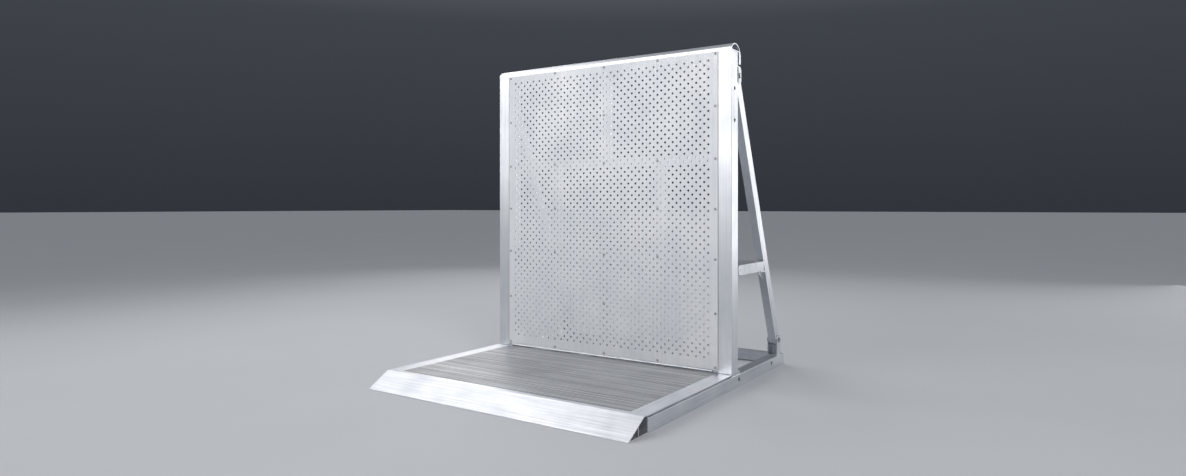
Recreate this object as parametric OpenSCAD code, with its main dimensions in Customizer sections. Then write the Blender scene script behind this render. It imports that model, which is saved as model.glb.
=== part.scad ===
/* [Overall] */
// Width over the posts and the base rails
unit_w = 1048; // [800:2:1300]
// Depth from the tip of the ramp to the rear end of the base
unit_d = 1206; // [1150:2:1500]
// Height to the crown of the hand rail
unit_h = 1200; // [1150:2:1450]
// Distance from the tip of the ramp back to the face of the wall
front_reach = 686; // [560:2:760]

/* [Base rails] */
// Width of a side rail
rail_w = 42; // [34:1:50]
// Height of a side rail
rail_h = 43; // [40:1:45]
// Wall of the rail tubes
rail_wall = 3; // [2:0.5:4]
// Depth of the front cross rail and width of the deck bearers
cross_w = 40; // [30:1:50]
// Gap between the floor and the cross rails
cross_lift = 5; // [3:1:8]
// Depth of the rear cross rail
rear_w = 28; // [20:1:40]
// Depth of the cross rail that carries the wall hinge
hinge_rail_w = 54; // [44:1:70]
// Thickness of the plates that close the rear ends of the side rails
cap_t = 3; // [2:0.5:5]
// Distance of each deck bearer from the middle
bearer_x = 160; // [100:5:260]

/* [Deck] */
// Height of the walking surface above the side rails
deck_rise = 9; // [6:1:13]
// Thickness of a deck plank
plank_t = 25; // [20:1:28]
// Wall of a hollow plank
plank_wall = 3; // [2:0.5:4]
// Gap between the ramp and the first plank
deck_gap = 4; // [2:1:8]
// Gap between the last plank and the face of the wall
deck_rear_gap = 6; // [5:1:10]
// Width of an anti-slip groove
groove_w = 3; // [2:0.5:4]
// Depth of an anti-slip groove
groove_depth = 1.2; // [0.5:0.1:1.5]
// Number of grooves on each plank
groove_n = 8; // [4:1:10]
// Width of the trim along each side of the deck
trim_w = 57; // [50:1:64]
// Thickness of the trim
trim_t = 4; // [3:0.5:5]
// Width of the rib that carries the trim on the side rail
trim_rib_w = 20; // [10:1:26]
// Width of the ledge under the plank ends
ledge_w = 30; // [24:1:40]
// Thickness of the ledge
ledge_t = 3; // [2:0.5:4]

/* [Ramp] */
// Depth of the ramp from tip to back
ramp_len = 106; // [90:1:130]
// Flat strip along the top of the ramp
ramp_flat = 21.5; // [12:0.5:30]
// Height of the blunt tip
ramp_tip = 2; // [1:0.5:3]
// Wall of the ramp extrusion
ramp_wall = 3; // [2:0.5:4]

/* [Wall] */
// Width of a post
post_w = 50; // [44:1:60]
// Depth of a post
post_d = 54; // [48:1:60]
// Wall of a post
post_wall = 3.5; // [2:0.5:5]
// Gap between the walking surface and the feet of the posts
foot_gap = 1; // [0.9:0.1:4]
// Thickness of the perforated sheet
sheet_t = 2.5; // [1.5:0.5:4]
// Shadow gap between the sheet and each post
sheet_gap = 1.5; // [0.5:0.5:3]
// Width and depth of the frame bars behind the sheet
bar = 30; // [24:1:34]
// Height of the top bar
top_bar_h = 24; // [18:1:26]
// Wall of the frame bars
bar_wall = 2.5; // [1.5:0.5:4]

/* [Perforation] */
// Diameter of a hole
hole_d = 8; // [5:0.5:10]
// Distance between holes along a row
hole_pitch_x = 31.17; // [24:0.01:36]
// Distance between every second row
hole_pitch_z = 29.3; // [24:0.01:36]
// Distance of the middle of the hole grid below the crown of the rail
grid_drop = 577.1; // [540:0.1:620]
// Half pitches from the middle of the grid to each band bar
band_steps = 12; // [8:1:16]
// Half pitches from the middle of the grid to each side mullion
mullion_steps = 15; // [9:2:21]

/* [Hand rail] */
// Radius of the crown
crown_r = 45; // [42:1:50]
// Gap for the fingers between the posts and the rear grip
grip_gap = 10; // [8:1:20]
// Height of the hollow above the posts
crown_h = 28; // [22:1:34]
// Wall of the hand rail
crown_wall = 4; // [3:0.5:5]
// Thickness of the rear grip
grip_t = 16; // [10:1:17]
// Height of the crown above the lower end of the grip
grip_drop = 70; // [60:1:76]

/* [Struts] */
// Distance of the strut foot bolt from the rear end of the base
foot_inset = 54; // [50:1:110]
// Height of the strut foot bolt above the side rails
foot_rise = 61; // [52:1:72]
// Distance of the strut head behind the posts
head_gap = 6; // [4:1:12]
// Distance of the strut head below the crown of the rail
head_drop = 110; // [105:1:130]
// Width of a strut
strut_w = 30; // [24:1:32]
// Depth of a strut
strut_d = 42; // [34:1:44]
// Wall of a strut
strut_wall = 3; // [2:0.5:4]
// Thickness of the cheeks that hold a strut
cheek_t = 4; // [3:0.5:5]
// Sideways clearance of a strut in its cheeks
strut_side_gap = 0.5; // [0.3:0.1:1]
// Radius of the strut foot bolt
bolt_r = 6; // [4:0.5:8]

/* [Step] */
// Height of the middle of the step board
step_z = 407; // [380:1:440]
// Thickness of the step board
step_t = 36; // [28:1:38]
// Gap between the round nose of the step and the posts
step_gap = 5; // [5:1:10]
// Gap between the rear edge of the step and the struts
step_rear_gap = 7.1; // [5:0.1:60]
// Wall of the step board
step_wall = 2.5; // [2:0.5:4]
// Thickness of the plates at the ends of the step
step_plate_t = 5; // [3:0.5:6]
// Width of the lug that carries the step on each post
step_lug_w = 20; // [14:1:22]
// Radius of the step pins
step_pin_r = 5; // [4:0.5:6]

/* [Wall hinge] */
// Outer radius of the hinge knuckles
knuckle_r = 4.5; // [4:0.1:5]
// Radius of the hinge pin
hinge_pin_r = 2.5; // [2:0.1:3]
// Thickness of the hinge leaves
leaf_t = 2.5; // [2:0.1:3]
// Depth of the hinge leaves
leaf_w = 25; // [15:1:30]
// Number of knuckles
knuckle_n = 9; // [5:2:13]

/* [Link holes] */
// Radius of the holes that link one barrier to the next
link_r = 6.5; // [5:0.5:8]
// Distance of the front rail hole behind the face of the wall
link_front_y = 66; // [60:1:100]
// Distance of the rear rail hole behind the face of the wall
link_rear_y = 387; // [300:1:390]
// Height of the rail holes
link_rail_z = 25; // [16:1:28]
// Distance of the upper post hole below the crown of the rail
link_post_drop = 157; // [150:1:250]
// Distance between the two holes of a post
link_post_pitch = 112; // [60:1:200]

/* [Hidden] */
$fn = 64;

over = 1;            // how far a cut runs past the face it opens
pin_clearance = 0.05; // radial clearance of a pin in its bore
seat = 0.3;          // gap between a moving piece and what it rests on
plank_n = 6;
half_w = unit_w / 2;
rail_in = half_w - rail_w;              // inner face of a side rail
post_in = half_w - post_w;              // inner face of a post
wall_y = front_reach - unit_d / 2;      // the wall's face in the part's own frame
deck_h = rail_h + deck_rise;
post_foot = deck_h + foot_gap;
hinge_z = post_foot + knuckle_r;
rail_front = ramp_len - front_reach;    // what follows is measured from the wall's face
rail_rear = unit_d - front_reach;
hinge_rail_y = -4;
plank_z = deck_h - plank_t;             // underside of the planks
deck_front = rail_front + deck_gap;
plank_pitch = (-deck_rear_gap - deck_front) / plank_n;
ramp_slope = (deck_h - ramp_tip) / (ramp_len - ramp_flat);
post_top = unit_h - crown_h;
sheet_z = hinge_z + knuckle_r + 0.5;    // lower edge of the sheet and the bottom bar
stile_in = post_in - bar;               // inner face of a stile
grid_z = unit_h - grid_drop;
band_rise = band_steps * hole_pitch_z / 2;
mullion_x = mullion_steps * hole_pitch_x / 2;
crown_y = post_d + grip_gap + grip_t - crown_r; // centre of the crown behind the wall's face
foot_y = rail_rear - foot_inset;
foot_z = rail_h + foot_rise;
head_y = post_d + head_gap;
head_z = unit_h - head_drop;
strut_lean = atan2(foot_y - head_y, head_z - foot_z);
strut_len = norm([foot_y - head_y, head_z - foot_z]);
strut_out = half_w - cheek_t - strut_side_gap;
strut_in = strut_out - strut_w;
cheek_in = strut_in - strut_side_gap - cheek_t;
step_plate_in = half_w - seat - step_plate_t;
step_clear = 5;                         // free room beside the step lugs
step_lug_in = step_plate_in - step_clear - step_lug_w;
step_cheek_t = 4;
step_cheek_in = step_lug_in - step_clear - step_cheek_t;
step_y = post_d + step_gap + step_t / 2; // the step's pivot behind the wall's face
step_rear = strut_front(step_z + step_t / 2) - step_rear_gap;
step_notch_y = step_y + step_t / 2 + 6;
step_under = step_z - step_t / 2;
hinge_len = 2 * post_in - 2 * 20;
knuckle_pitch = hinge_len / knuckle_n;
knuckle_gap = 1;

alu = "silver";
alu_dark = "darkgray";
steel = "slategray";

module at_wall() { translate([0, wall_y, 0]) children(); }

module block(low, high) { translate(low) cube(high - low); }

module on_side(side) { mirror([side < 0 ? 1 : 0, 0, 0]) children(); }

module on_both() {
  on_side(-1) children();
  on_side(1) children();
}

// an outline drawn in Y and Z, run along X
module along_x(from, to) {
  translate([from, 0, 0]) rotate([90, 0, 90]) linear_extrude(to - from) children();
}

module rod_x(from, to, y, z, r) {
  translate([from, y, z]) rotate([0, 90, 0]) cylinder(h = to - from, r = r);
}

module area(low, high) { translate(low) square(high - low); }

module tube_x(low, high, t) {
  difference() {
    block(low, high);
    block(low + [-over, t, t], high + [over, -t, -t]);
  }
}

module tube_y(low, high, t) {
  difference() {
    block(low, high);
    block(low + [t, -over, t], high + [-t, over, -t]);
  }
}

module tube_z(low, high, t) {
  difference() {
    block(low, high);
    block(low + [t, t, -over], high + [-t, -t, over]);
  }
}

// ---- base

module side_rail(side) {
  color(alu) at_wall() on_side(side) difference() {
    tube_y([rail_in, rail_front, 0], [half_w, rail_rear - cap_t, rail_h], rail_wall);
    for (y = [link_front_y, link_rear_y]) rod_x(rail_in - over, half_w + over, y, link_rail_z, link_r);
  }
}

module rail_caps() {
  color(alu) at_wall() on_both()
    block([rail_in, rail_rear - cap_t, 0], [half_w, rail_rear, rail_h]);
}

module front_cross_rail() {
  color(alu) at_wall()
    tube_x([-rail_in, rail_front, cross_lift], [rail_in, rail_front + cross_w, plank_z], rail_wall);
}

module hinge_cross_rail() {
  color(alu) at_wall()
    tube_x([-rail_in, hinge_rail_y, cross_lift],
           [rail_in, hinge_rail_y + hinge_rail_w, rail_h], rail_wall);
}

module rear_cross_rail() {
  color(alu) at_wall()
    tube_x([-rail_in, rail_rear - rear_w, cross_lift], [rail_in, rail_rear, rail_h], rail_wall);
}

module deck_bearers() {
  color(alu) at_wall() on_both()
    tube_y([bearer_x - cross_w / 2, rail_front + cross_w, cross_lift],
           [bearer_x + cross_w / 2, hinge_rail_y, plank_z], rail_wall);
}

module deck_ledges() {
  color(alu) at_wall() on_both() {
    block([rail_in - ledge_w, rail_front + cross_w, plank_z - ledge_t],
          [rail_in, hinge_rail_y, plank_z]);
    block([rail_in - ledge_t, rail_front + cross_w, cross_lift], [rail_in, hinge_rail_y, plank_z]);
  }
}

// height of the inside of the ramp's sloping wall
function ramp_inside(y) =
  ramp_tip + (y + front_reach) * ramp_slope - ramp_wall * norm([1, ramp_slope]);

// where the inside of the sloping wall reaches a height
function ramp_inside_y(z) =
  (z - ramp_tip + ramp_wall * norm([1, ramp_slope])) / ramp_slope - front_reach;

module ramp() {
  back = rail_front - ramp_wall;
  rib = -front_reach + ramp_len / 2;
  roof = deck_h - ramp_wall;
  color(alu) at_wall() along_x(-half_w, half_w) difference() {
    polygon([[-front_reach, 0], [-front_reach, ramp_tip], [rail_front - ramp_flat, deck_h],
             [rail_front, deck_h], [rail_front, 0]]);
    polygon([[ramp_inside_y(ramp_wall), ramp_wall], [rib - ramp_wall / 2, ramp_inside(rib - ramp_wall / 2)],
             [rib - ramp_wall / 2, ramp_wall]]);
    polygon([[rib + ramp_wall / 2, ramp_wall], [rib + ramp_wall / 2, ramp_inside(rib + ramp_wall / 2)],
             [ramp_inside_y(roof), roof], [back, roof], [back, ramp_wall]]);
  }
}

module deck_plank(n) {
  joint = 0.5;                          // half the gap between two planks
  y0 = deck_front + (n - 1) * plank_pitch + joint;
  y1 = deck_front + n * plank_pitch - joint;
  mid = (y0 + y1) / 2;
  groove_pitch = (y1 - y0) / groove_n;
  x = half_w - trim_w - 0.5;
  color(alu_dark) at_wall() along_x(-x, x) difference() {
    area([y0, plank_z], [y1, deck_h]);
    area([y0 + plank_wall, plank_z + plank_wall], [mid - plank_wall / 2, deck_h - plank_wall - groove_depth]);
    area([mid + plank_wall / 2, plank_z + plank_wall], [y1 - plank_wall, deck_h - plank_wall - groove_depth]);
    for (i = [0 : groove_n - 1]) {
      g = y0 + (i + 0.5) * groove_pitch;
      area([g - groove_w / 2, deck_h - groove_depth], [g + groove_w / 2, deck_h + over]);
    }
  }
}

module edge_trim(side) {
  rib_mid = half_w - rail_w / 2;
  color(alu) at_wall() on_side(side) {
    block([half_w - trim_w, rail_front, deck_h - trim_t], [half_w, -over, deck_h]);
    block([rib_mid - trim_rib_w / 2, rail_front, rail_h], [rib_mid + trim_rib_w / 2, -over, deck_h]);
  }
}

// knuckles n = first, first + 2, ... along the hinge line, grown by an extra radius
module knuckles(first, r, gap) {
  for (i = [first : 2 : knuckle_n - 1]) {
    x = -hinge_len / 2 + i * knuckle_pitch;
    rod_x(x + gap, x + knuckle_pitch - gap, 0, hinge_z, r);
  }
}

module hinge_bore() {
  rod_x(-half_w, half_w, 0, hinge_z, hinge_pin_r + pin_clearance);
}

module hinge_base_leaf() {
  web_top = hinge_z - knuckle_r - 1;
  color(alu) at_wall() difference() {
    union() {
      block([-hinge_len / 2, -leaf_t / 2, rail_h], [hinge_len / 2, leaf_w, rail_h + leaf_t]);
      block([-hinge_len / 2, -leaf_t / 2, rail_h], [hinge_len / 2, leaf_t / 2, web_top]);
      for (i = [0 : 2 : knuckle_n - 1]) {
        x = -hinge_len / 2 + i * knuckle_pitch + knuckle_gap / 2;
        block([x, -leaf_t / 2, rail_h], [x + knuckle_pitch - knuckle_gap, leaf_t / 2, hinge_z]);
      }
      knuckles(0, knuckle_r, knuckle_gap / 2);
    }
    hinge_bore();
  }
}

module hinge_pin() {
  color(steel) at_wall() rod_x(-hinge_len / 2, hinge_len / 2, 0, hinge_z, hinge_pin_r);
}

module post_pads() {
  color(alu) at_wall() on_both()
    block([rail_in + 2, 3, rail_h], [half_w - 2, post_d + 24, post_foot - seat]);
}

module clevis(side) {
  round_r = strut_d / 2 - 0.5;
  web_front = foot_y + round_r - cheek_t;
  swing_r = strut_d / 2 + 5;            // room for the round foot of the strut
  web_top = foot_z - sqrt(pow(swing_r, 2) - pow(web_front - foot_y, 2));
  color(alu) at_wall() on_side(side) difference() {
    union() {
      block([cheek_in, foot_y - round_r, rail_h], [half_w, foot_y + round_r, rail_h + cheek_t]);
      for (x = [cheek_in, half_w - cheek_t]) {
        block([x, foot_y - round_r, rail_h], [x + cheek_t, foot_y + round_r, foot_z]);
        rod_x(x, x + cheek_t, foot_y, foot_z, round_r);
      }
      block([cheek_in, web_front, rail_h], [half_w, foot_y + round_r, web_top]);
    }
    rod_x(cheek_in - over, half_w + over, foot_y, foot_z, bolt_r + pin_clearance);
  }
}

module clevis_bolts() {
  nut_t = 6;
  nut_r = 10;
  color(steel) at_wall() on_both() {
    rod_x(cheek_in - nut_t, half_w, foot_y, foot_z, bolt_r);
    rod_x(cheek_in - nut_t, cheek_in, foot_y, foot_z, nut_r);
  }
}

// ---- wall

module post(side) {
  color(alu) at_wall() on_side(side) difference() {
    tube_z([post_in, 0, post_foot], [half_w, post_d, post_top], post_wall);
    for (drop = [0, link_post_pitch])
      rod_x(post_in - over, half_w + over, post_d / 2, unit_h - link_post_drop - drop, link_r);
  }
}

module stile(side) {
  color(alu) at_wall() on_side(side)
    tube_z([stile_in, sheet_t, sheet_z + bar], [post_in, sheet_t + bar, post_top - top_bar_h], bar_wall);
}

module wide_bar(half, z0, z1) {
  color(alu) at_wall() tube_x([-half, sheet_t, z0], [half, sheet_t + bar, z1], bar_wall);
}

module upright_bar(x, z0, z1) {
  color(alu) at_wall()
    tube_z([x - bar / 2, sheet_t, z0], [x + bar / 2, sheet_t + bar, z1], bar_wall);
}

module centre_mullions() {
  upright_bar(0, sheet_z + bar, grid_z - band_rise - bar / 2);
  upright_bar(0, grid_z + band_rise + bar / 2, post_top - top_bar_h);
}

module side_mullions() {
  for (x = [-mullion_x, mullion_x])
    upright_bar(x, grid_z - band_rise + bar / 2, grid_z + band_rise - bar / 2);
}

// the grid is staggered: a hole stands where the two step counts add up to an even number
module perforated_sheet() {
  half = post_in - sheet_gap;
  color(alu) at_wall() difference() {
    block([-half, 0, sheet_z], [half, sheet_t, post_top]);
    for (u = [-24, -8, 8, 24], v = [-24, 0, 24])
      translate([u * hole_pitch_x / 2, -over, grid_z - (v + 0.5) * hole_pitch_z / 2])
        rotate([-90, 0, 0]) cylinder(h = sheet_t + 2 * over, d = hole_d);
  }
}

module hand_rail() {
  cz = unit_h - crown_r;
  back = crown_y + crown_r;
  grip_end = unit_h - grip_drop + grip_t / 2;
  color(alu) at_wall() along_x(-half_w, half_w) difference() {
    union() {
      intersection() {
        translate([crown_y, cz]) circle(r = crown_r);
        union() {
          area([0, post_top], [back, unit_h]);
          area([back - grip_t, cz], [back, unit_h]);
        }
      }
      area([back - grip_t, grip_end], [back, cz]);
      translate([back - grip_t / 2, grip_end]) circle(d = grip_t);
    }
    intersection() {
      translate([crown_y, cz]) circle(r = crown_r - crown_wall);
      area([crown_wall, post_top + crown_wall], [back, unit_h]);
    }
  }
}

module hinge_wall_leaf() {
  color(alu) at_wall() difference() {
    union() {
      block([-hinge_len / 2, knuckle_r + 1.5, sheet_z - leaf_t], [hinge_len / 2, leaf_w, sheet_z]);
      for (i = [1 : 2 : knuckle_n - 1]) {
        x = -hinge_len / 2 + i * knuckle_pitch + knuckle_gap / 2;
        block([x, 0, sheet_z - leaf_t], [x + knuckle_pitch - knuckle_gap, leaf_w, sheet_z]);
      }
      knuckles(1, knuckle_r, knuckle_gap / 2);
    }
    hinge_bore();
  }
}

module heel_brackets() {
  t = 4;
  rise = 52;
  reach = 24;
  color(alu) at_wall() on_both() {
    block([post_in + 8, post_d, post_foot], [half_w - 4, post_d + t, post_foot + rise]);
    block([post_in + 8, post_d, post_foot], [half_w - 4, post_d + reach, post_foot + t]);
  }
}

module strut_lugs() {
  r = 15;
  top = unit_h - grip_drop - 6;
  low = top - 62;
  rear = post_d + 31;
  color(alu) at_wall() on_both()
    for (x = [cheek_in, half_w - cheek_t]) along_x(x, x + cheek_t) {
      area([post_d, low], [rear - r, top]);
      area([rear - r, low + r], [rear, top - r]);
      for (z = [low + r, top - r]) translate([rear - r, z]) circle(r = r);
    }
}

module step_lugs() {
  r = 12;
  color(alu) at_wall() on_both() difference() {
    along_x(step_lug_in, step_lug_in + step_lug_w) {
      area([post_d, step_z - r], [step_y, step_z + r]);
      translate([step_y, step_z]) circle(r = r);
    }
    rod_x(step_lug_in - over, half_w, step_y, step_z, step_pin_r + pin_clearance);
  }
}

// ---- struts

// the front face of a strut at a height
function strut_front(z) =
  foot_y - (z - foot_z) * tan(strut_lean) - strut_d / 2 / cos(strut_lean);

// a bar of half depth h about the line from foot to head, cut upright at the post
module strut_outline(h, start, gap) {
  top = unit_h - grip_drop - 8;
  intersection() {
    translate([foot_y, foot_z]) rotate(strut_lean) area([-h, start], [h, strut_len + strut_d * 2]);
    area([post_d + gap, 0], [foot_y + strut_d, top + (h < strut_d / 2 ? over : 0)]);
  }
}

module strut(side) {
  mouth = 30;                           // length of the foot that is left solid
  color(alu) at_wall() on_side(side) difference() {
    along_x(strut_in, strut_out) {
      strut_outline(strut_d / 2, 0, seat);
      translate([foot_y, foot_z]) circle(d = strut_d);
    }
    along_x(strut_in + strut_wall, strut_out - strut_wall)
      strut_outline(strut_d / 2 - strut_wall, mouth, -over);
    rod_x(strut_in - over, strut_out + over, foot_y, foot_z, bolt_r + pin_clearance);
  }
}

module step_ledges() {
  top = step_under - seat;
  plate = 5;
  drop = 42;
  tip = step_rear - 16;
  mid = (strut_in + strut_out) / 2;
  color(alu) at_wall() on_both() {
    along_x(strut_in, strut_out)
      polygon([[tip, top], [strut_front(top), top], [strut_front(top - plate), top - plate],
               [tip, top - plate]]);
    along_x(mid - plate / 2, mid + plate / 2)
      polygon([[tip, top], [strut_front(top), top], [strut_front(top - drop), top - drop],
               [tip, top - plate]]);
  }
}

// ---- step

// the side view of the step, with its round nose on the pivot, shrunk by a wall
module step_outline(shrink) {
  area([step_y, step_z - step_t / 2 + shrink], [step_rear - shrink, step_z + step_t / 2 - shrink]);
  translate([step_y, step_z]) circle(d = step_t - 2 * shrink);
}

module step_board() {
  x = step_plate_in;
  color(alu_dark) at_wall() difference() {
    along_x(-x, x) difference() {
      step_outline(0);
      step_outline(step_wall);
    }
    on_both() block([step_cheek_in, 0, step_under - over],
                    [x + over, step_notch_y, step_z + step_t / 2 + over]);
  }
}

module step_ends() {
  color(alu) at_wall() on_both() difference() {
    union() {
      along_x(step_plate_in, step_plate_in + step_plate_t) step_outline(0);
      along_x(step_cheek_in, step_cheek_in + step_cheek_t) intersection() {
        step_outline(0);
        area([0, 0], [step_notch_y, unit_h]);
      }
    }
    rod_x(step_cheek_in - over, half_w + over, step_y, step_z, step_pin_r + pin_clearance);
  }
}

module step_pins() {
  color(steel) at_wall() on_both()
    rod_x(step_cheek_in, half_w - seat, step_y, step_z, step_pin_r);
}

side_rail(-1);  // side_rail_left
side_rail(1);  // side_rail_right
rail_caps();
front_cross_rail();
hinge_cross_rail();
rear_cross_rail();
deck_bearers();
deck_ledges();
ramp();
deck_plank(1);  // deck_plank_1
deck_plank(2);  // deck_plank_2
deck_plank(3);  // deck_plank_3
deck_plank(4);  // deck_plank_4
deck_plank(5);  // deck_plank_5
deck_plank(6);  // deck_plank_6
edge_trim(-1);  // edge_trim_left
edge_trim(1);  // edge_trim_right
hinge_base_leaf();
hinge_pin();
post_pads();
clevis(-1);  // clevis_left
clevis(1);  // clevis_right
clevis_bolts();
post(-1);  // post_left
post(1);  // post_right
stile(-1);  // stile_left
stile(1);  // stile_right
wide_bar(post_in, post_top - top_bar_h, post_top);  // top_bar
wide_bar(stile_in, grid_z + band_rise - bar / 2, grid_z + band_rise + bar / 2);  // upper_band_bar
wide_bar(stile_in, grid_z - band_rise - bar / 2, grid_z - band_rise + bar / 2);  // lower_band_bar
wide_bar(post_in, sheet_z, sheet_z + bar);  // bottom_bar
centre_mullions();
side_mullions();
perforated_sheet();
hand_rail();
hinge_wall_leaf();
heel_brackets();
strut_lugs();
step_lugs();
strut(-1);  // strut_left
strut(1);  // strut_right
step_ledges();
step_board();
step_ends();
step_pins();
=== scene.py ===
import math

import bmesh
import bpy
from mathutils import Matrix, Vector


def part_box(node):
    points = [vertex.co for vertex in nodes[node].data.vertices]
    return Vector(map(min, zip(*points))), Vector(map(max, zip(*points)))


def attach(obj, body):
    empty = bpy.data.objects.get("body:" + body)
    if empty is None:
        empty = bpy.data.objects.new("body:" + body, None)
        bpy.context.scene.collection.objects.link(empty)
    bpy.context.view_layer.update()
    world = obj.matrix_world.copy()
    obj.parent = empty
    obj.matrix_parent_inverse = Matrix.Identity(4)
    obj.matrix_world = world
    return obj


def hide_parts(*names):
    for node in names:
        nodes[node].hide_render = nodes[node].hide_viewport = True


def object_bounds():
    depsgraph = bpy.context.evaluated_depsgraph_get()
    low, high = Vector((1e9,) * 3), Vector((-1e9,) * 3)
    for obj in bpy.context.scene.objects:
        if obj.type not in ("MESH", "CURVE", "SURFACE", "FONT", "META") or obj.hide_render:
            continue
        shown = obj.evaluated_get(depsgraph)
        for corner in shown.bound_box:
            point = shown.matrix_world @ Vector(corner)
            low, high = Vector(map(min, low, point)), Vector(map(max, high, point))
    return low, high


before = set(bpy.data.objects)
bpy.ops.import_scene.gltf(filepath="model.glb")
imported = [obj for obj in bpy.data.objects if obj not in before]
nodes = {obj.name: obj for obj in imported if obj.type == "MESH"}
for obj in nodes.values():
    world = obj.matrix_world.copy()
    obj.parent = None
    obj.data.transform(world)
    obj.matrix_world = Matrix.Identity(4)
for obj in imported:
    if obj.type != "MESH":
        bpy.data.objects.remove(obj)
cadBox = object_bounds()
print("frame loaded,", len(nodes), "nodes")


def hexColour(code):
    parts = [int(code[i:i + 2], 16) / 255 for i in (1, 3, 5)]
    linear = [p / 12.92 if p <= 0.04045 else ((p + 0.055) / 1.055) ** 2.4 for p in parts]
    return (*linear, 1.0)


def addNode(tree, kind, settings=None, links=None):
    node = tree.nodes.new(kind)
    for key, value in (settings or {}).items():
        if isinstance(key, int) or key in node.inputs:
            node.inputs[key].default_value = value
        else:
            setattr(node, key, value)
    for key, source in (links or {}).items():
        tree.links.new(source, node.inputs[key])
    return node


def emptyMaterial(name):
    material = bpy.data.materials.new(name)
    material.use_nodes = True
    material.node_tree.nodes.clear()
    return material, material.node_tree


def addPiece(name, mesh, body, material, smooth=False):
    piece = bpy.data.objects.new(name, mesh)
    bpy.context.scene.collection.objects.link(piece)
    mesh.materials.append(material)
    mesh.polygons.foreach_set("use_smooth", [smooth] * len(mesh.polygons))
    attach(piece, body)
    return piece


def meshFrom(bm, name):
    bmesh.ops.recalc_face_normals(bm, faces=bm.faces)
    mesh = bpy.data.meshes.new(name)
    bm.to_mesh(mesh)
    bm.free()
    return mesh


def turned(bm, profile, sides, place):
    # a closed turned shape: (radius, height) pairs from the top middle down to the bottom middle
    rings = []
    for radius, height in profile:
        if radius == 0:
            rings.append([bm.verts.new(place @ Vector((0, 0, height)))])
            continue
        angles = [2 * math.pi * i / sides for i in range(sides)]
        rings.append([bm.verts.new(place @ Vector((radius * math.cos(a), radius * math.sin(a), height)))
                      for a in angles])
    for upper, lower in zip(rings, rings[1:]):
        for i in range(sides):
            j = (i + 1) % sides
            corners = [upper[i % len(upper)], lower[i % len(lower)],
                       lower[j % len(lower)], upper[j % len(upper)]]
            bm.faces.new(list(dict.fromkeys(corners)))


facing = {                                      # turns a shape's own +Z to one of these directions
    "-Y": Matrix.Rotation(math.radians(90), 4, "X"),
    "+X": Matrix.Rotation(math.radians(90), 4, "Y"),
    "-X": Matrix.Rotation(math.radians(-90), 4, "Y"),
}


# How the grain and the clouds of every metal here are drawn.
drawnPattern = {
    "lineDetail": 3.0, "lineRoughness": 0.65, "cloudDetail": 5.0, "cloudRoughness": 0.55,
    "shadeUpTo": 0.32, "colourFrom": 0.62,      # where the noise turns from the shade to the full colour
    "roughFrom": 0.3, "roughTo": 0.7,           # the noise between which the roughness runs
}


def drawnMetal(name, look, pattern=drawnPattern):
    material, tree = emptyMaterial(name)
    place = addNode(tree, "ShaderNodeTexCoord")
    scale = [1000 / look["lineMm"]] * 3
    scale["XYZ".index(look["along"])] = 1000 / look["lineLongMm"]
    stretched = addNode(tree, "ShaderNodeMapping", {"Scale": scale},
                        {"Vector": place.outputs["Object"]})
    lines = addNode(tree, "ShaderNodeTexNoise", {
        "Scale": 1.0, "Detail": pattern["lineDetail"], "Roughness": pattern["lineRoughness"],
    }, {"Vector": stretched.outputs[0]})
    clouds = addNode(tree, "ShaderNodeTexNoise", {
        "Scale": 1000 / look["cloudMm"],
        "Detail": pattern["cloudDetail"], "Roughness": pattern["cloudRoughness"],
    }, {"Vector": place.outputs["Object"]})
    both = addNode(tree, "ShaderNodeMix",
                   {"data_type": "FLOAT", 0: look["cloudShare"]},
                   {2: lines.outputs["Fac"], 3: clouds.outputs["Fac"]})
    tone = addNode(tree, "ShaderNodeValToRGB", {}, {"Fac": both.outputs[0]})
    stops = ((pattern["shadeUpTo"], look["shade"]), (pattern["colourFrom"], look["colour"]))
    for element, (position, code) in zip(tone.color_ramp.elements, stops):
        element.position = position
        element.color = hexColour(code)
    rough = addNode(tree, "ShaderNodeMapRange",
                    {"From Min": pattern["roughFrom"], "From Max": pattern["roughTo"],
                     "To Min": look["roughness"] + look["spread"],
                     "To Max": look["roughness"] - look["spread"]},
                    {"Value": both.outputs[0]})
    grain = addNode(tree, "ShaderNodeBump",
                    {"Strength": look["relief"], "Distance": look["depthMm"] / 1000},
                    {"Height": lines.outputs["Fac"]})
    shader = addNode(tree, "ShaderNodeBsdfPrincipled", {"Metallic": look.get("metallic", 1.0)},
                     {"Base Color": tone.outputs["Color"], "Roughness": rough.outputs[0],
                      "Normal": grain.outputs["Normal"]})
    addNode(tree, "ShaderNodeOutputMaterial", {}, {"Surface": shader.outputs[0]})
    return material


# Mill-finish aluminium, extruded: the die leaves fine lines along the bar, which stretch each highlight.
# The real lines are about 0.2 mm apart; they are drawn at a few mm so that they show.
extrusionLook = {
    "colour": "#E9EBEE", "shade": "#C9CDD4", "roughness": 0.36, "spread": 0.07,
    "lineMm": 3.2, "lineLongMm": 420, "cloudMm": 160, "cloudShare": 0.45, "relief": 0.10, "depthMm": 0.15,
}
extruded = {axis: drawnMetal("millFinishAluminium" + axis, {**extrusionLook, "along": axis})
            for axis in "XYZ"}

# Satin aluminium sheet, rolled: an even pale sheen with soft, cloudy roller marks up its height.
sheetLook = {
    "colour": "#F3F4F6", "shade": "#E4E7EC", "metallic": 0.55, "roughness": 0.52, "spread": 0.05,
    "along": "Z",
    "lineMm": 5.0, "lineLongMm": 500, "cloudMm": 220, "cloudShare": 0.6, "relief": 0.04, "depthMm": 0.10,
}
satinSheet = drawnMetal("satinRolledAluminium", sheetLook)

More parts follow.
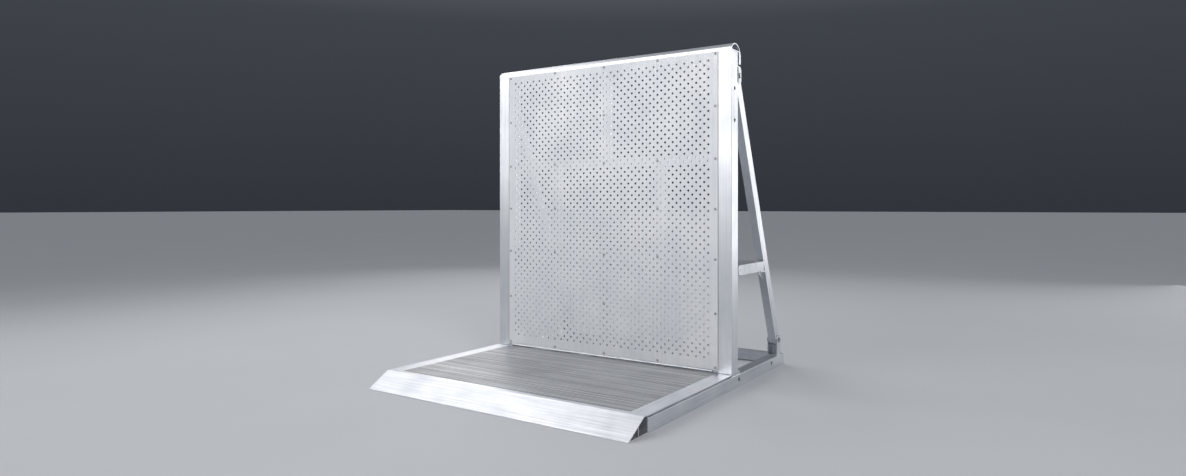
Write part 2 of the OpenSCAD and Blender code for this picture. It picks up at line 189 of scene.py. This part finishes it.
# Punched aluminium edge, torn through by the die and dull, coloured dark as painted shade so that each hole
# and the sheet's outline read dark: the dark stands in for the shade inside the holes and the shadow line
# round the sheet.
edgeShadeLook = {
    "colour": "#7C8087", "shade": "#4E5258", "metallic": 0.7, "roughness": 0.62, "spread": 0.08,
    "along": "Y", "lineMm": 0.8, "lineLongMm": 2.5, "cloudMm": 30, "cloudShare": 0.3,
    "relief": 0.1, "depthMm": 0.05,
}
paintedEdgeShade = drawnMetal("holeWallPaintedShade", edgeShadeLook)

# Brushed aluminium, belt-ground: bright, with clear long scratches along the piece.
brushedLook = {
    "colour": "#F4F5F7", "shade": "#C9CDD5", "metallic": 0.85, "roughness": 0.35, "spread": 0.10,
    "lineMm": 2.6, "lineLongMm": 260, "cloudMm": 120, "cloudShare": 0.30, "relief": 0.16, "depthMm": 0.20,
}
brushed = {axis: drawnMetal("brushedAluminium" + axis, {**brushedLook, "along": axis})
           for axis in "XY"}

# Ribbed deck aluminium, extruded and walked on: duller and darker, with pale streaks along the ribs.
deckLook = {
    "colour": "#D6D7D8", "shade": "#8A8C90", "metallic": 0.85, "roughness": 0.46, "spread": 0.10,
    "along": "X",
    "lineMm": 5.5, "lineLongMm": 1100, "cloudMm": 140, "cloudShare": 0.18, "relief": 0.20, "depthMm": 0.25,
}
wornDeck = drawnMetal("wornRibbedAluminium", deckLook)

# Plate aluminium, saw-cut and linished: flat satin brackets with a short grain.
plateLook = {
    "colour": "#E6E8EB", "shade": "#BFC4CB", "roughness": 0.40, "spread": 0.08, "along": "Z",
    "lineMm": 2.4, "lineLongMm": 60, "cloudMm": 45, "cloudShare": 0.40, "relief": 0.12, "depthMm": 0.15,
}
cutPlate = drawnMetal("linishedAluminiumPlate", plateLook)

# Zinc-plated steel, passivated: a cooler, slightly yellow-blue clouded shine on bolts, pins and rivets.
zincLook = {
    "colour": "#C9CBCB", "shade": "#8F9498", "roughness": 0.30, "spread": 0.08, "along": "X",
    "lineMm": 1.2, "lineLongMm": 8, "cloudMm": 9, "cloudShare": 0.70, "relief": 0.08, "depthMm": 0.05,
}
zincSteel = drawnMetal("zincPlatedSteel", zincLook)

# Weld aluminium, as laid: matt and slightly grey, rippled by the torch.
weldLook = {
    "colour": "#D5D8DC", "shade": "#9DA2A9", "roughness": 0.48, "spread": 0.10, "along": "Y",
    "lineMm": 1.5, "lineLongMm": 1.5, "cloudMm": 12, "cloudShare": 0.50, "relief": 0.20, "depthMm": 0.20,
}
weldMetal = drawnMetal("aluminiumWeld", weldLook)
print("materials made")


# The finish of each of the frame's own pieces.
finishes = [
    (extruded["Y"], "extrusion", ["side_rail_left", "side_rail_right", "deck_bearers", "deck_ledges"]),
    (extruded["X"], "extrusion", ["front_cross_rail", "hinge_cross_rail", "rear_cross_rail", "top_bar",
                                  "upper_band_bar", "lower_band_bar", "bottom_bar", "step_board",
                                  "hand_rail"]),
    (extruded["Z"], "extrusion", ["post_left", "post_right", "stile_left", "stile_right",
                                  "centre_mullions", "side_mullions", "strut_left", "strut_right"]),
    (brushed["X"], "brushed", ["ramp"]),
    (brushed["Y"], "brushed", ["edge_trim_left", "edge_trim_right"]),
    (wornDeck, "deck", [f"deck_plank_{n}" for n in range(1, 7)]),
    (cutPlate, "extrusion", ["rail_caps", "post_pads", "clevis_left", "clevis_right", "heel_brackets",
                             "strut_lugs", "step_lugs", "step_ledges", "step_ends", "hinge_base_leaf",
                             "hinge_wall_leaf"]),
    (zincSteel, "fastener", ["hinge_pin", "clevis_bolts", "step_pins"]),
]
for material, slotName, names in finishes:
    for name in names:
        mesh = nodes[name].data
        mesh.materials.clear()
        mesh.materials.append(material)


edgePlan = {"mergeMm": 0.02, "widthMm": 0.9, "segments": 2, "sharperThan": 35}


def softenEdges(name, plan):
    # breaks the sharp corners, as sawing, filing and the die leave them
    weld = nodes[name].modifiers.new("weld", "WELD")
    weld.merge_threshold = plan["mergeMm"] / 1000
    soft = nodes[name].modifiers.new("softEdges", "BEVEL")
    soft.width = plan["widthMm"] / 1000
    soft.segments = plan["segments"]
    soft.limit_method = "ANGLE"
    soft.angle_limit = math.radians(plan["sharperThan"])
    soft.use_clamp_overlap = True
    soft.harden_normals = True


softened = ("side_rail", "front_cross", "hinge_cross", "rear_cross", "ramp", "edge_trim", "post_left",
            "post_right", "strut_left", "strut_right", "hand_rail", "rail_caps")
for name in nodes:
    if name.startswith(softened):
        softenEdges(name, edgePlan)
print("frame pieces finished")


# The perforated sheet, with every hole.
sheetPlan = {
    "pitchX": 0.03117, "pitchZ": 0.0293,       # between holes of a row, and between every second row
    "holeRadius": 0.004, "holeSides": 14,
    "rows": 72, "halfColumns": 28,              # counted in half pitches from the middle
    "gridDrop": 0.5771,                         # middle of the grid below the crown of the rail
}


def angleOf(point):
    return math.atan2(point[1], point[0]) % (2 * math.pi)


def ringToEdge(ring, edge):
    # triangles between two closed loops round the same middle, by walking round both at once
    inner = sorted(range(len(ring)), key=lambda i: angleOf(ring[i]))
    outer = sorted(range(len(edge)), key=lambda i: angleOf(edge[i]))
    i = j = 0
    triangles = []
    while i < len(inner) or j < len(outer):
        a, b = inner[i % len(inner)], outer[j % len(outer)]
        nextInner = angleOf(ring[inner[(i + 1) % len(inner)]]) + 2 * math.pi * (i + 1 >= len(inner))
        nextOuter = angleOf(edge[outer[(j + 1) % len(outer)]]) + 2 * math.pi * (j + 1 >= len(outer))
        if j >= len(outer) or (i < len(inner) and nextInner <= nextOuter):
            triangles.append((("r", a), ("e", b), ("r", inner[(i + 1) % len(inner)])))
            i += 1
        else:
            triangles.append((("r", a), ("e", b), ("e", outer[(j + 1) % len(outer)])))
            j += 1
    return triangles


def perforatedMesh(plan):
    low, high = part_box("perforated_sheet")
    stepX, stepZ = plan["pitchX"] / 2, plan["pitchZ"] / 2
    rows, half = plan["rows"], plan["halfColumns"] + 1
    middleZ = cadBox[1].z - plan["gridDrop"]
    top = middleZ + rows / 2 * stepZ
    bm = bmesh.new()
    made = {}

    def corner(k, j):                           # lattice point k half pitches across, j rows down
        if (k, j) not in made:
            x = {-half - 1: low.x, half + 1: high.x}.get(k, k * stepX)
            z = {-1: high.z, rows + 1: low.z}.get(j, top - j * stepZ)
            made[k, j] = bm.verts.new((x, low.y, z))
        return made[k, j]

    ring = [(plan["holeRadius"] * math.cos(a), plan["holeRadius"] * math.sin(a))
            for a in (2 * math.pi * (i + 0.5) / plan["holeSides"] for i in range(plan["holeSides"]))]
    edgeSteps = [(1, 1), (0, 1), (-1, 1), (-1, 0), (0, 0), (1, 0)]       # corners and mid points of a cell
    edge = [(k * stepX, (0.5 - j) * stepZ) for k, j in edgeSteps]
    pattern = ringToEdge(ring, edge)

    for row in range(rows):
        reach = plan["halfColumns"] - row % 2                            # every second row is half a step in
        z = top - (row + 0.5) * stepZ
        for column in range(-reach, reach + 1, 2):
            loops = {"r": [bm.verts.new((column * stepX + x, low.y, z + dz)) for x, dz in ring],
                     "e": [corner(column + k, row + j) for k, j in edgeSteps]}
            for triangle in pattern:
                bm.faces.new([loops[kind][i] for kind, i in triangle])
        for side in (-1, 1):                                             # the plain margin beside the row
            ks = [side * k for k in range(reach + 1, half + 2)]
            bm.faces.new([corner(k, row) for k in ks] + [corner(k, row + 1) for k in reversed(ks)])
    for upper, lower in ((-1, 0), (rows, rows + 1)):                     # the plain strips above and below
        for k in range(-half - 1, half + 1):
            bm.faces.new([corner(k, upper), corner(k + 1, upper), corner(k + 1, lower), corner(k, lower)])
    mesh = meshFrom(bm, "sheet")
    if mesh.polygons[0].normal.y > 0:
        mesh.flip_normals()
    return mesh, high.y - low.y


sheetMesh, sheetThick = perforatedMesh(sheetPlan)
sheet = addPiece("perforated_skin", sheetMesh, "wall", satinSheet)
solid = sheet.modifiers.new("thickness", "SOLIDIFY")
solid.thickness = sheetThick
solid.offset = -1                               # the mesh is the front face, and the metal lies behind it
# painted shade: the hole walls and the sheet's outer edges take the dark edge colour in place of their shade
sheetMesh.materials.append(paintedEdgeShade)
solid.material_offset_rim = 1                   # the walls of the holes and the outer edges
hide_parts("perforated_sheet")
print("sheet made,", len(sheetMesh.polygons), "faces")


# The rivets that hold the sheet to its frame.
rivetPlan = {
    "sides": 20,
    "profile": [(0, 0.0008), (0.0010, 0.0008), (0.0013, 0.0017), (0.0028, 0.0015), (0.0042, 0.0010),
                (0.0050, 0.0003), (0.0051, -0.0002), (0, -0.0002)],      # a dome with its mandrel hole
    "sideOut": 0.004,                           # side rivets stand this far out of the stile's middle
    "topUp": 0.0055, "bottomDown": 0.0075,      # top and bottom rivets, from the bars' middles
}


def middleOf(name, axis):
    low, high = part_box(name)
    return (low[axis] + high[axis]) / 2


def rivetPlaces(plan):
    sideX = middleOf("stile_right", 0) + plan["sideOut"]
    stileLow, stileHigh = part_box("stile_right")
    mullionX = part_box("side_mullions")[1].x - (stileHigh.x - stileLow.x) / 2     # as wide as a stile
    topZ = middleOf("top_bar", 2) + plan["topUp"]
    bottomZ = middleOf("bottom_bar", 2) - plan["bottomDown"]
    upper, lower = middleOf("upper_band_bar", 2), middleOf("lower_band_bar", 2)
    rows = [bottomZ, (bottomZ + lower) / 2, lower, (lower + upper) / 2, upper, (upper + topZ) / 2, topZ]
    places = [(x, z) for x in (-sideX, sideX) for z in rows]
    places += [(x, z) for x in (-mullionX, 0, mullionX) for z in (bottomZ, lower, upper, topZ)]
    places += [(0, rows[1]), (0, rows[5]), (-mullionX, rows[3]), (mullionX, rows[3])]
    return places


rivetBm = bmesh.new()
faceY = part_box("perforated_sheet")[0].y
for x, z in rivetPlaces(rivetPlan):
    turned(rivetBm, rivetPlan["profile"], rivetPlan["sides"],
           Matrix.Translation((x, faceY, z)) @ facing["-Y"])
addPiece("sheet_rivets", meshFrom(rivetBm, "rivets"), "wall", zincSteel, smooth=True)
print("rivets made")


# The bolt heads with their washers.
boltPlan = {
    "hexRadius": 0.0085, "hexHigh": 0.0034,     # a low head, so that units stand close side by side
    "washerRadius": 0.0105, "washerHigh": 0.0010, "washerSides": 32,
    "edgeIn": 0.0006, "edgeDown": 0.0005,       # the washer's broken edge
    "dishTo": 0.62, "rimFrom": 0.68, "rimTo": 0.86,                      # shares of the hexagon's radius
    "dishDeep": 0.0004, "cornerDown": 0.0012,   # the dished top, and the hexagon's broken corners
    "headUp": 0.030,                            # strut head bolt above the lower edge of its lugs
    "headBack": 0.0155,                         # strut head bolt in front of the lugs' rear edge
}


def addBolt(bm, place, plan):
    base, radius, washer = plan["washerHigh"], plan["hexRadius"], plan["washerRadius"]
    crown = base + plan["hexHigh"]
    dish = crown - plan["dishDeep"]
    turned(bm, [(0, base), (washer - plan["edgeIn"], base), (washer, base - plan["edgeDown"]),
                (washer, 0), (0, 0)], plan["washerSides"], place)
    turned(bm, [(0, dish), (radius * plan["dishTo"], dish), (radius * plan["rimFrom"], crown),
                (radius * plan["rimTo"], crown), (radius, crown - plan["cornerDown"]),
                (radius, base), (0, base)], 6, place)


lugLow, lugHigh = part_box("strut_lugs")
headBolts = bmesh.new()
for side, way in ((-1, "-X"), (1, "+X")):
    addBolt(headBolts, Matrix.Translation((side * lugHigh.x, lugHigh.y - boltPlan["headBack"],
                                           lugLow.z + boltPlan["headUp"])) @ facing[way], boltPlan)
addPiece("strut_head_bolts", meshFrom(headBolts, "headBolts"), "wall", zincSteel)

clevisLow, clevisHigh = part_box("clevis_right")
boltLow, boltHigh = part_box("clevis_bolts")
footBolts = bmesh.new()
for side, way in ((-1, "-X"), (1, "+X")):
    addBolt(footBolts, Matrix.Translation((side * clevisHigh.x, (boltLow.y + boltHigh.y) / 2,
                                           (boltLow.z + boltHigh.z) / 2)) @ facing[way], boltPlan)
addPiece("strut_foot_bolts", meshFrom(footBolts, "footBolts"), "base", zincSteel)
print("bolts made")


# The weld beads where the pieces are joined.
weldPlan = {
    "radius": 0.0028, "rippleMm": 2.6, "ripple": 0.14, "sides": 8,
    "fewestRings": 6, "endShare": 0.45, "endGrowth": 0.2,                # how the two ends draw in
    "lugWidth": 0.039, "stepLugWidth": 0.020,   # between the two beads of a lug
    "lugShort": 0.003, "stepLugShort": 0.001, "clevisShort": 0.002, "hingeShort": 0.002,
    "rearShort": 0.003,                         # how far each bead stops short of its edge
    "heelInner": 0.011, "heelOuter": 0.007,     # ends of the heel's bead, in from the post's sides
    "rearIn": 0.0415,                           # the rear cross rail's bead, in from the side rail's outside
}


def addBead(bm, start, end, plan):
    # a rippled bead along a line, with its ends drawn in
    start, end = Vector(start), Vector(end)
    along = end - start
    turn = along.to_track_quat("Z", "Y").to_matrix().to_4x4()
    count = max(plan["fewestRings"], round(along.length * 1000 / plan["rippleMm"] * 2))
    rings = [(0, 0.0)]
    for i in range(count + 1):
        taper = min(1.0, plan["endShare"] + plan["endGrowth"] * min(i, count - i))
        swell = 1 + plan["ripple"] * (1 if i % 2 else -1)
        rings.append((plan["radius"] * taper * swell, along.length * (i + 0.5) / (count + 1)))
    rings.append((0, along.length))
    turned(bm, rings, plan["sides"], Matrix.Translation(start) @ turn)


wallWelds = bmesh.new()
baseWelds = bmesh.new()
postLow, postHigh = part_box("post_right")
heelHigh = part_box("heel_brackets")[1]
stepLow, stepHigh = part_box("step_lugs")
railLow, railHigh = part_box("side_rail_right")
hingeRailLow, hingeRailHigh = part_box("hinge_cross_rail")
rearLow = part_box("rear_cross_rail")[0]
rearX = railHigh.x - weldPlan["rearIn"]
for side in (-1, 1):
    for x in (lugHigh.x - weldPlan["lugWidth"], lugHigh.x):
        addBead(wallWelds, (side * x, postHigh.y, lugLow.z + weldPlan["lugShort"]),
                (side * x, postHigh.y, lugHigh.z - weldPlan["lugShort"]), weldPlan)
    addBead(wallWelds, (side * (postLow.x + weldPlan["heelInner"]), postHigh.y, heelHigh.z),
            (side * (postHigh.x - weldPlan["heelOuter"]), postHigh.y, heelHigh.z), weldPlan)
    for x in (stepHigh.x, stepHigh.x - weldPlan["stepLugWidth"]):
        addBead(wallWelds, (side * x, postHigh.y, stepLow.z + weldPlan["stepLugShort"]),
                (side * x, postHigh.y, stepHigh.z - weldPlan["stepLugShort"]), weldPlan)
    for y in (clevisLow.y, clevisHigh.y):
        addBead(baseWelds, (side * (clevisLow.x + weldPlan["clevisShort"]), y, railHigh.z),
                (side * (clevisHigh.x - weldPlan["clevisShort"]), y, railHigh.z), weldPlan)
    addBead(baseWelds, (side * rearX, rearLow.y, railHigh.z - weldPlan["rearShort"]),
            (side * rearX, rearLow.y, rearLow.z + weldPlan["rearShort"]), weldPlan)
    addBead(baseWelds, (side * railLow.x, hingeRailHigh.y, hingeRailLow.z + weldPlan["hingeShort"]),
            (side * railLow.x, hingeRailHigh.y, railHigh.z - weldPlan["hingeShort"]), weldPlan)
addPiece("wall_welds", meshFrom(wallWelds, "wallWelds"), "wall", weldMetal, smooth=True)
addPiece("base_welds", meshFrom(baseWelds, "baseWelds"), "base", weldMetal, smooth=True)
print("welds made")


# The floor, the light and the camera.
floorPlan = {
    "half": 90.0, "squares": 8, "under": 0.0002,                         # this far below the base
    "colour": "#DADCDF", "shade": "#D3D5D9", "roughness": 0.85, "cloudsPerMetre": 1.2, "cloudDetail": 3.0,
}


def floorMaterial(plan):
    material, tree = emptyMaterial("matteStudioFloor")
    place = addNode(tree, "ShaderNodeTexCoord")
    clouds = addNode(tree, "ShaderNodeTexNoise",
                     {"Scale": plan["cloudsPerMetre"], "Detail": plan["cloudDetail"]},
                     {"Vector": place.outputs["Object"]})
    tone = addNode(tree, "ShaderNodeMix",
                   {"data_type": "RGBA", 6: hexColour(plan["shade"]), 7: hexColour(plan["colour"])},
                   {0: clouds.outputs["Fac"]})
    shader = addNode(tree, "ShaderNodeBsdfPrincipled", {"Roughness": plan["roughness"]},
                     {"Base Color": tone.outputs[2]})
    addNode(tree, "ShaderNodeOutputMaterial", {}, {"Surface": shader.outputs[0]})
    return material


floorBm = bmesh.new()
bmesh.ops.create_grid(floorBm, x_segments=floorPlan["squares"], y_segments=floorPlan["squares"],
                      size=floorPlan["half"])
floorMesh = bpy.data.meshes.new("floor")
floorBm.to_mesh(floorMesh)
floorBm.free()
floorMesh.materials.append(floorMaterial(floorPlan))
floor = bpy.data.objects.new("studio_floor", floorMesh)
floor.location.z = cadBox[0].z - floorPlan["under"]
bpy.context.scene.collection.objects.link(floor)

skyPlan = {
    "level": 0.50,
    "stops": [(0.0, "#8C9096"), (0.49, "#454A52"), (0.62, "#5A6068"), (0.78, "#C8CDD4"), (1.0, "#EEF0F3")],
}


def makeSky(plan):
    world = bpy.data.worlds.new("studio")
    world.use_nodes = True
    tree = world.node_tree
    tree.nodes.clear()
    place = addNode(tree, "ShaderNodeTexCoord")
    turn = addNode(tree, "ShaderNodeMapping", {"Scale": (0, 0, 0.5), "Location": (0, 0, 0.5)},
                   {"Vector": place.outputs["Generated"]})               # height -1 to 1 becomes 0 to 1
    parts = addNode(tree, "ShaderNodeSeparateXYZ", {}, {"Vector": turn.outputs[0]})
    tone = addNode(tree, "ShaderNodeValToRGB", {}, {"Fac": parts.outputs["Z"]})
    ramp = tone.color_ramp
    while len(ramp.elements) < len(plan["stops"]):
        ramp.elements.new(0.5)
    for element, (position, code) in zip(ramp.elements, plan["stops"]):
        element.position = position
        element.color = hexColour(code)
    glow = addNode(tree, "ShaderNodeBackground", {"Strength": plan["level"]},
                   {"Color": tone.outputs["Color"]})
    addNode(tree, "ShaderNodeOutputWorld", {}, {"Surface": glow.outputs[0]})
    bpy.context.scene.world = world


makeSky(skyPlan)

lampSpread = 120                                # degrees; keeps the light off the floor beside each lamp
lamps = {
    "front_left": {"from": (-2.6, -4.8, 2.3), "size": (4.2, 2.8), "watts": 43},
    "rear_right": {"from": (3.0, 4.4, 1.4), "size": (2.4, 3.0), "watts": 19},
    "rear_left": {"from": (-3.6, 3.8, 2.8), "size": (2.4, 2.4), "watts": 20},
    "right_front": {"from": (3.6, -2.4, 3.0), "size": (1.8, 1.8), "watts": 22},
    "high_left": {"from": (-2.8, 0.1, 3.4), "size": (3.0, 3.0), "watts": 15},
}
aim = (cadBox[0] + cadBox[1]) / 2
for name, plan in lamps.items():
    data = bpy.data.lights.new(name, "AREA")
    data.shape = "RECTANGLE"
    data.size, data.size_y = plan["size"]
    data.energy = plan["watts"]
    data.spread = math.radians(lampSpread)
    lamp = bpy.data.objects.new(name, data)
    lamp.location = plan["from"]
    lamp.rotation_mode = "QUATERNION"
    lamp.rotation_quaternion = (aim - lamp.location).to_track_quat("-Z", "Y")
    lamp.visible_camera = False
    bpy.context.scene.collection.objects.link(lamp)

eye = {
    "at": (1.5420, -2.2926, 0.6321), "tilt": 90, "turn": 33.865,         # level, in degrees
    "sensor": 36, "lens": 22.425, "shift": (0.0004, -0.0266),
}
cameraData = bpy.data.cameras.new("eye")
cameraData.sensor_width = eye["sensor"]
cameraData.lens = eye["lens"]
cameraData.shift_x, cameraData.shift_y = eye["shift"]
camera = bpy.data.objects.new("eye", cameraData)
camera.location = eye["at"]
camera.rotation_euler = (math.radians(eye["tilt"]), 0, math.radians(eye["turn"]))
bpy.context.scene.collection.objects.link(camera)
bpy.context.scene.camera = camera
bpy.context.scene.view_settings.view_transform = "Standard"
print("studio made")
